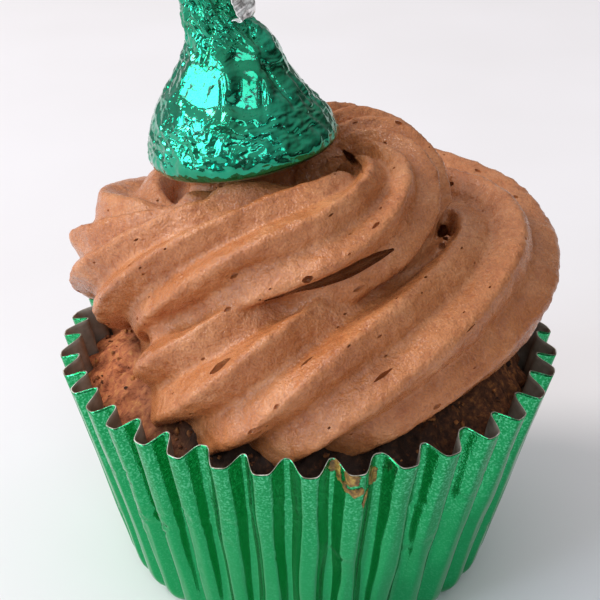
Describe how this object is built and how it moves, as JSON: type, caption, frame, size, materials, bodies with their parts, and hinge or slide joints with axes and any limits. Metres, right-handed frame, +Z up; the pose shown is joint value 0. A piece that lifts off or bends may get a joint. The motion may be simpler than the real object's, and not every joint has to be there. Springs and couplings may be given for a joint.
{
  "type": "chocolate cupcake",
  "caption": "Chocolate cupcake in a pleated green foil case, with a piped chocolate frosting swirl and a foil-wrapped chocolate drop on top.",
  "frame": {"origin": "middle of the baking case's flat base, on the surface it stands on", "axes": "+Z up through the cake; -Y faces the picture's camera, +X to its right"},
  "size_m": [0.0679, 0.0679, 0.0896],
  "materials": {
    "foil_paper": "satin green foil laminated on baking paper, finely textured, brown-grey inside",
    "sponge": "baked chocolate sponge, dark, crumbly and porous",
    "frosting": "whipped chocolate frosting, satin, with fine air bubbles",
    "green_foil": "crinkled emerald green aluminium foil, glossy",
    "white_paper": "silvery white tissue paper strip, crumpled, no print"
  },
  "bodies": {
    "root": {"baking_case": "foil_paper", "sponge": "sponge", "frosting": "frosting", "foil_drop": "green_foil", "paper_flag": "white_paper"}
  },
  "joints": []
}
